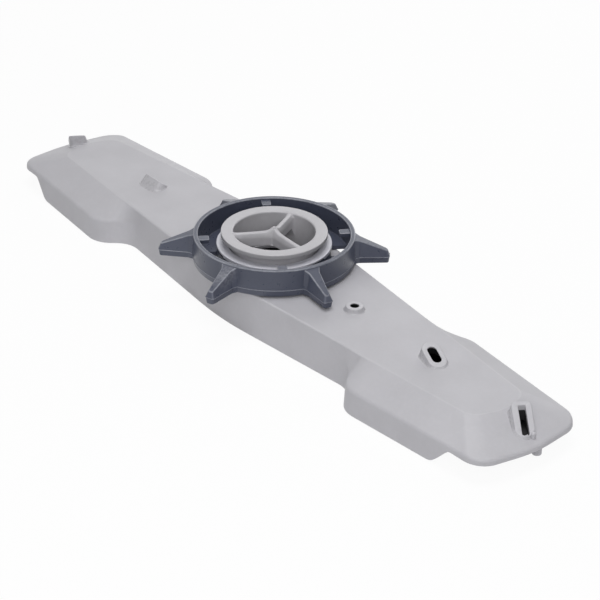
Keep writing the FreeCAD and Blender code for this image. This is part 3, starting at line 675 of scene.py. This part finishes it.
def makeRing():
    # the flange's underside is a function of the angle: low, or lifted along each thin stretch
    angle = np.degrees(np.linspace(0, 2 * np.pi, ring["around"], endpoint=False))
    period = 360 / ring["stretches"]
    place = (angle - (ring["stretchEnd"] - ring["span"] / 2) + period / 2) % period - period / 2
    lift = np.clip((ring["span"] / 2 - abs(place)) / ring["ramp"], 0, 1)
    under = ring["flangeBottom"] + (ring["top"] - ring["thin"] - ring["flangeBottom"]) * lift
    way = np.radians(angle)

    def row(radius, height):
        # a circle about the hub axis, its height a number or one for each angle
        return np.stack([radius * np.cos(way), radius * np.sin(way), height + 0 * way], 1)

    rows = [row(ring["bore"], ring["spigotEnd"]), row(ring["spigot"], ring["spigotEnd"]),
            row(ring["spigot"], ring["flangeBottom"]),
            row(ring["outerSpigot"] + ring["stepNear"], ring["flangeBottom"]),
            row(ring["outerSpigot"] + ring["stepFar"], under), row(ring["radius"], under),
            row(ring["radius"], ring["top"]), row(ring["bore"], ring["top"] - ring["dish"])]
    rounds = [ring["spigotRound"], ring["spigotRound"], 0, 0, 0, ring["underRound"], ring["rimRound"],
              ring["boreRound"]]
    grid = softened(rows, rounds, closed=True)
    # the ring's lighter plastic is painted light
    piece = solid("bearing_ring_bush", [grid], rowsClosed=True, materials=(ringLitMaterial,))
    finished(piece, "arm", "bearing_ring")


makeRing()
print("bearing ring made")


# Inlet hub: flanged sleeve with three spokes that meet in a pointed boss

hub = dict(top=43.0, flangeRadius=29.5, flange=2.7, bore=22.6, sleeve=24.6, bottom=22.3, beadRadius=27.12,
           beadTop=25.0, edgeRound=0.7, boreRound=1.6, lowRound=0.3, beadRound=0.4, underRound=0.5,
           around=192)
spoke = dict(count=3, drop=0.3, fall=0.5, depth=7.8, ridge=2.2, width=3.8, shoulder=2.6, footWiden=1.05,
             wallRise=0.3, wallRun=1.2, gusset=6.0, gussetRun=2.4, web=4.4, webRise=1.9, webRun=1.6,
             rootFlare=2.0, rootRun=1.3, bossFlare=1.0, bossRun=3.0, ridgeFlare=0.2, steps=48,
             rounds=(0.7, 1.2, 0.4, 0.4, 1.2, 0.7))
boss = dict(radius=1.1, foot=3.4, rise=2.2, dome=0.5, curve=1.4, around=40)


def spokeGrid():
    # section across the spoke carried outward. Its ridge falls evenly and rises as exp(-distance) to
    # the boss and to the wall. It is wider there too, and a rib runs down the wall.
    reach = np.linspace(0, (hub["bore"] + hub["sleeve"]) / 2, spoke["steps"])
    toWall = hub["bore"] - reach
    level = hub["top"] - spoke["drop"] - spoke["fall"] * reach / reach[-1]
    level = level + spoke["wallRise"] * np.exp(-toWall / spoke["wallRun"])
    deeper = spoke["gusset"] * np.clip(1 - toWall / spoke["gussetRun"], 0, 1)
    web = np.minimum(spoke["web"] * np.exp(-reach / spoke["webRun"]), spoke["webRise"])
    flare = np.exp(-toWall / spoke["rootRun"]) * spoke["rootFlare"]
    flare = flare + np.exp(-reach / spoke["bossRun"]) * spoke["bossFlare"]
    ridge, half, shoulder, depth = spoke["ridge"] / 2, spoke["width"] / 2, spoke["shoulder"], spoke["depth"]
    foot = half * spoke["footWiden"]
    section = np.array([(ridge, 0), (half, -shoulder), (foot, -depth),
                        (-foot, -depth), (-half, -shoulder), (-ridge, 0)])
    section = softened(section[:, None, :], spoke["rounds"], closed=True)[:, 0, :]
    low = np.clip(-section[None, :, 1] / shoulder, 0, 1)
    wide = 1 + flare[:, None] / half * (spoke["ridgeFlare"] + (1 - spoke["ridgeFlare"]) * low)
    height = level[:, None] + web[:, None] * (1 - low) + section[None, :, 1] - deeper[:, None] * (low == 1)
    grid = np.stack([np.broadcast_to(reach[:, None], wide.shape), section[None, :, 0] * wide, height], 2)
    ends = [np.broadcast_to(grid[i].mean(0), grid[i].shape)[None] for i in (0, -1)]
    return np.concatenate([ends[0], grid, ends[1]])


def bossGrid():
    # radius + (foot - radius) * (1 - rise)^curve up to a dome of sin and cos
    bottom = hub["top"] - spoke["drop"] - spoke["depth"]
    neck = hub["top"] + boss["rise"] - boss["dome"]
    rise = np.linspace(0, 1, 16)
    radius = boss["radius"] + (boss["foot"] - boss["radius"]) * (1 - rise) ** boss["curve"]
    height = bottom + (neck - bottom) * rise
    dome = np.linspace(0, 1, 6)[1:] * np.pi / 2
    cone = np.stack([[0, *radius, *(boss["radius"] * np.cos(dome))],
                     [bottom, *height, *(neck + boss["dome"] * np.sin(dome))]], 1)
    return turned(cone, boss["around"])


def makeHub():
    # sleeve turned about the hub axis, then spokes and boss joined to it
    edge, under = hub["edgeRound"], hub["top"] - hub["flange"]
    section = softProfile([(hub["bore"], hub["bottom"], hub["lowRound"]),
                           (hub["beadRadius"], hub["bottom"], hub["beadRound"]),
                           (hub["beadRadius"], hub["beadTop"], hub["beadRound"]),
                           (hub["sleeve"], hub["beadTop"], hub["lowRound"]),
                           (hub["sleeve"], under, hub["underRound"]),
                           (hub["flangeRadius"], under, hub["underRound"]),
                           (hub["flangeRadius"], hub["top"], edge),
                           (hub["bore"], hub["top"], edge * hub["boreRound"])])
    piece = solid("inlet_hub_sleeve", [turned(section, hub["around"])], rowsClosed=True,
                  materials=(hubMaterial,))
    for i in range(spoke["count"]):
        combine(piece, solid("spoke", [spun(spokeGrid(), i * 360 / spoke["count"])]), "UNION")
    combine(piece, solid("boss", [bossGrid()]), "UNION")
    finished(piece, "hub", "inlet_hub")


makeHub()
print("hub made")


# Lock nut: spiked ring with bayonet lugs inside. Heights are above its underside.

nut = dict(underside=26.1, height=15.5, bore=42.0, rim=44.6, waist=45.3, foot=44.7, parting=3.7,
           edgeRound=0.6, neckBore=30.0, neckWall=1.5, neckTop=7.4, neckRound=0.3, footRound=0.6, lip=2.2,
           lipGap=11.6, seam=0.14, seamHalf=0.17, seamBand=1.6, around=240)
lug = dict(count=4, angle=59.4, reach=6.0, width=5.2, thickness=2.4, drop=1.2, sunk=0.5, corner=0.35,
           lowRound=0.35, topRound=0.45)
spike = dict(count=6, angle=49.7, reach=63.9, rootDrop=0.9, tipDrop=8.8, rootWidth=8.8, tipWidth=5.6,
             flare=12.4, flareStart=43.4, flareHalf=0.4, flareEnd=47.2, flareRound=3.0, lean=0.12,
             tipRound=1.3, wall=1.5, edgeRound=0.55, footRound=0.5, coreRound=0.4)


def spikeOutline(lean, inset):
    # root flare, tapering flanks and a rounded tip, for a spike along +X
    widths = (spike["tipWidth"], spike["rootWidth"], spike["flare"])
    tip, root, flare = (width / 2 - lean - inset for width in widths)
    start, step, far = spike["flareStart"], spike["flareHalf"], spike["reach"] - lean - inset
    side = [plan(start - step, flare), plan(start + step, flare), plan(spike["flareEnd"], root),
            plan(far, tip)]
    corners = side + [p * (1, -1) for p in reversed(side)]
    radii = [0, 0, spike["flareRound"], spike["tipRound"]]
    return roundedPath(corners, radii + radii[::-1], 8)


def spikeTop(radius, drop=0.0):
    # a straight fall from the root at the nut's rim to the tip
    fall = (spike["tipDrop"] - spike["rootDrop"]) / (spike["reach"] - nut["rim"])
    return nut["height"] - spike["rootDrop"] - drop - fall * (radius - nut["rim"])


def spikeGrid():
    # plan outlines at rising heights, the last one on the sloping top, closed along its middle. The
    # parting line stands proud by the seam.
    seam, half, parting = nut["seam"], nut["seamHalf"], nut["parting"]
    band = half * nut["seamBand"]
    levels = ((0, seam), (parting - band, seam), (parting - half, 0), (parting + half, 0),
              (parting + band, seam))
    rows = []
    for height, inset in levels:
        rows.append(lifted(spikeOutline(spike["lean"] * abs(height - parting), inset), height))
    outline = spikeOutline(spike["lean"] * (spikeTop(spike["flareEnd"]) - parting), seam)
    rows.append(lifted(outline, spikeTop(outline[:, 0])))
    reach = np.clip(outline[:, 0], spike["flareStart"], spike["reach"] - spike["tipWidth"] / 2)
    middle = np.stack([reach, 0 * reach, spikeTop(reach)], 1)
    rounds = [0, spike["footRound"], 0, 0, 0, 0, spike["edgeRound"], 0]
    # the parting line's face and the round at the top edge take the painted highlight
    return softened([middle * (1, 1, 0), *rows, middle], rounds), marks(rounds, ((3, 4), (6, 6)))


def coreGrid():
    # the hollow inside a spike: the flanks moved in by wall and lean, open below, under the sloping top
    rows = []
    for height, sloping in ((-1.0, False), (0.0, False), (nut["height"], True)):
        lean = spike["lean"] * height + spike["wall"]
        root, tip = spike["rootWidth"] / 2 - lean, spike["tipWidth"] / 2 - lean
        near, far = nut["foot"], spike["reach"] - spike["wall"] - lean
        corners = [plan(near, root), plan(far, tip), plan(far, -tip), plan(near, -root)]
        outline = roundedPath(corners, [spike["coreRound"]] * 4, 4)
        rows.append(lifted(outline, spikeTop(outline[:, 0], spike["wall"]) if sloping else height))
    ends = [row * (1, 0, 1) for row in (rows[0], rows[-1])]
    return np.stack([ends[0], *rows, ends[1]])


def lugGrid():
    # rounded block on the inner wall
    size = (lug["reach"] + lug["sunk"], lug["width"])
    outline = obround(size, (lug["corner"], lug["corner"]), 5)
    top = nut["height"] - lug["drop"]
    levels = (top - lug["thickness"], top)
    rows = [lifted(outline, z) for z in levels]
    ends = [lifted(spineOf(outline, size), z) for z in levels]
    rounds = [0, lug["lowRound"], lug["topRound"], 0]
    grid = softened([ends[0], *rows, ends[1]], rounds) + (nut["bore"] + lug["sunk"] - size[0] / 2, 0, 0)
    # the lug's top round takes the painted highlight
    return grid, marks(rounds, ((2, 2),))


def gapGrid():
    # sector of the lip under a lug: two arcs, x = sqrt(r^2 - y^2), joined by straight sides
    across = np.linspace(-nut["lipGap"] / 2, nut["lipGap"] / 2, 12)
    inner, outer = nut["neckBore"] + nut["neckWall"], nut["bore"]
    near, far = (np.stack([np.sqrt(r ** 2 - across ** 2), across], 1) for r in (inner, outer))
    outline = np.concatenate([near, far[::-1]])
    folded = np.concatenate([near, near[::-1]])
    low, high = -1, nut["lip"] + 1
    return np.stack([lifted(folded, low), lifted(outline, low), lifted(outline, high), lifted(folded, high)])


def makeNut():
    # section of wall, lip and neck turned about the hub axis, then spikes and lugs joined, and the
    # spikes' cores and the gaps under the lugs cut out
    seam, half, parting, waist = nut["seam"], nut["seamHalf"], nut["parting"], nut["waist"]
    band, wide = half * nut["seamBand"], nut["neckBore"] + nut["neckWall"]
    edge, foot, neck = nut["edgeRound"], nut["footRound"], nut["neckRound"]
    corners = [(nut["bore"], nut["lip"], foot), (nut["bore"], nut["height"], edge),
               (nut["rim"], nut["height"], edge), (waist - seam, parting + band, 0),
               (waist, parting + half, 0), (waist, parting - half, 0), (waist - seam, parting - band, 0),
               (nut["foot"], 0, foot), (nut["neckBore"], 0, neck), (nut["neckBore"], nut["neckTop"], neck),
               (wide, nut["neckTop"], neck), (wide, nut["lip"], foot)]
    # the inner and outer top edges and the parting line take the painted highlight
    light = marks([corner[2] for corner in corners], ((1, 1), (2, 2), (4, 5)), closed=True)
    piece = solid("lock_nut_ring", [turned(softProfile(corners), nut["around"])], rowsClosed=True,
                  rowMaterials=light, materials=(nutMaterial, nutHighlightMaterial))
    spikeSteps = [spike["angle"] + i * 360 / spike["count"] for i in range(spike["count"])]
    lugSteps = [lug["angle"] + i * 360 / lug["count"] for i in range(lug["count"])]
    spikeRows, light = spikeGrid()
    combine(piece, solid("spikes", [spun(spikeRows, a) for a in spikeSteps], rowMaterials=light), "UNION")
    lugRows, light = lugGrid()
    combine(piece, solid("lugs", [spun(lugRows, a) for a in lugSteps], rowMaterials=light), "UNION")
    cut = [spun(coreGrid(), a) for a in spikeSteps] + [spun(gapGrid(), a) for a in lugSteps]
    combine(piece, solid("cores", cut), "DIFFERENCE")
    piece.data.transform(Matrix.Translation((0, 0, nut["underside"] * mm)))
    finished(piece, "nut", "lock_nut")


makeNut()
print("nut made")


# Studio: pale floor, soft lights and the camera at the photograph's angle

studio = dict(floorHalf=4.0, floorDrop=0.0003, floorColour=(0.90, 0.90, 0.905), floorRoughness=0.9,
              floorGloss=0.1, floorWhite=0.94, worldStrength=0.15)
lamps = dict(
    overhead=dict(place=(0, 0, 1.60), size=0.8, power=12.1),
    besideCamera=dict(place=(1.03, -0.81, 0.92), size=0.8, power=8.1),
    front=dict(place=(0.30, -0.65, 0.45), size=0.4, power=0.45),
    backLeft=dict(place=(-0.9, 0.8, 0.5), size=0.6, power=0.65),
    back=dict(place=(-0.3, 0.9, 0.5), size=0.6, power=1.35))
cameraSetup = dict(eye=(888.78, -685.9, 631.87), azimuth=51.5881, elevation=29.4029, roll=1.0,
                   focal=2307.351, picture=600, sensor=36.0, clipStart=0.05, clipEnd=50)


def seenBy(nodes, links, kinds):
    # 1 for the wanted kinds of ray, 0 for the others
    rays = nodes.new("ShaderNodeLightPath")
    seen = rays.outputs[kinds[0]]
    for kind in kinds[1:]:
        most = nodes.new("ShaderNodeMath")
        most.operation = "MAXIMUM"
        links.new(seen, most.inputs[0])
        links.new(rays.outputs[kind], most.inputs[1])
        seen = most.outputs["Value"]
    return seen


viewRays = ("Is Camera Ray", "Is Glossy Ray", "Is Transmission Ray")


def makeFloor():
    # one square: white for the rays that see it, by the share floorWhite, and a pale floor for the rest
    half = studio["floorHalf"]
    corners = [(-half, -half), (half, -half), (half, half), (-half, half)]
    mesh = bpy.data.meshes.new("floor")
    mesh.from_pydata([(x, y, -studio["floorDrop"]) for x, y in corners], [], [(0, 1, 2, 3)])
    floor = bpy.data.objects.new("floor", mesh)
    bpy.context.scene.collection.objects.link(floor)
    material = bpy.data.materials.new("pale floor")
    material.use_nodes = True
    nodes, links = material.node_tree.nodes, material.node_tree.links
    shader = nodes["Principled BSDF"]
    shader.inputs["Base Color"].default_value = (*studio["floorColour"], 1)
    shader.inputs["Roughness"].default_value = studio["floorRoughness"]
    shader.inputs["Specular IOR Level"].default_value = studio["floorGloss"]
    seen, glow = nodes.new("ShaderNodeMath"), nodes.new("ShaderNodeEmission")
    seen.operation = "MULTIPLY"
    seen.inputs[1].default_value = studio["floorWhite"]
    links.new(seenBy(nodes, links, viewRays), seen.inputs[0])
    glow.inputs["Color"].default_value = (1, 1, 1, 1)
    mixer = nodes.new("ShaderNodeMixShader")
    links.new(seen.outputs[0], mixer.inputs["Fac"])
    links.new(shader.outputs["BSDF"], mixer.inputs[1])
    links.new(glow.outputs["Emission"], mixer.inputs[2])
    # open from below, so that the underside shows
    clear = nodes.new("ShaderNodeBsdfTransparent")
    sideMix = nodes.new("ShaderNodeMixShader")
    form = nodes.new("ShaderNodeNewGeometry")
    links.new(form.outputs["Backfacing"], sideMix.inputs["Fac"])
    links.new(mixer.outputs["Shader"], sideMix.inputs[1])
    links.new(clear.outputs["BSDF"], sideMix.inputs[2])
    links.new(sideMix.outputs["Shader"], nodes["Material Output"].inputs["Surface"])
    mesh.materials.append(material)


def makeWorld():
    # white where it is seen, and a weak even light elsewhere
    world = bpy.data.worlds.new("studio")
    bpy.context.scene.world = world
    world.use_nodes = True
    nodes, links = world.node_tree.nodes, world.node_tree.links
    light = nodes["Background"]
    light.inputs["Color"].default_value = (1, 1, 1, 1)
    light.inputs["Strength"].default_value = studio["worldStrength"]
    white = nodes.new("ShaderNodeBackground")
    white.inputs["Color"].default_value = (1, 1, 1, 1)
    white.inputs["Strength"].default_value = 1.0
    mixer = nodes.new("ShaderNodeMixShader")
    links.new(seenBy(nodes, links, viewRays), mixer.inputs["Fac"])
    links.new(light.outputs["Background"], mixer.inputs[1])
    links.new(white.outputs["Background"], mixer.inputs[2])
    links.new(mixer.outputs["Shader"], nodes["World Output"].inputs["Surface"])


def makeLamps():
    # square lamps turned to the origin: back = place / length, side = hint x back, up = back x side
    for name, look in lamps.items():
        data = bpy.data.lights.new(name, "AREA")
        data.shape = "SQUARE"
        data.size = look["size"]
        data.energy = look["power"]
        lamp = bpy.data.objects.new(name, data)
        bpy.context.scene.collection.objects.link(lamp)
        place = np.array(look["place"])
        back = unit(place)
        side = unit(np.cross((0.01, 1, 0), back))       # the hint is nearly +Y, where no lamp stands
        axes = np.stack([side, np.cross(back, side), back], 1)
        lamp.matrix_world = Matrix.Translation(place) @ Matrix(axes.tolist()).to_4x4()


def makeCamera():
    # looks along -back; its right and up axes are turned by the roll
    azimuth, elevation, roll = (math.radians(cameraSetup[k]) for k in ("azimuth", "elevation", "roll"))
    back = np.array([math.sin(azimuth) * math.cos(elevation), -math.cos(azimuth) * math.cos(elevation),
                     math.sin(elevation)])
    right = np.array([math.cos(azimuth), math.sin(azimuth), 0])
    upward = np.cross(back, right)
    across = right * math.cos(roll) + upward * math.sin(roll)
    above = upward * math.cos(roll) - right * math.sin(roll)
    data = bpy.data.cameras.new("camera")
    data.sensor_width = cameraSetup["sensor"]
    data.lens = cameraSetup["sensor"] * cameraSetup["focal"] / cameraSetup["picture"]
    data.clip_start, data.clip_end = cameraSetup["clipStart"], cameraSetup["clipEnd"]
    camera = bpy.data.objects.new("camera", data)
    bpy.context.scene.collection.objects.link(camera)
    axes = Matrix(np.stack([across, above, back], 1).tolist()).to_4x4()
    camera.matrix_world = Matrix.Translation(np.array(cameraSetup["eye"]) * mm) @ axes
    bpy.context.scene.camera = camera


makeFloor()
makeWorld()
makeLamps()
makeCamera()
bpy.context.scene.view_settings.view_transform = "Standard"
print("studio ready")
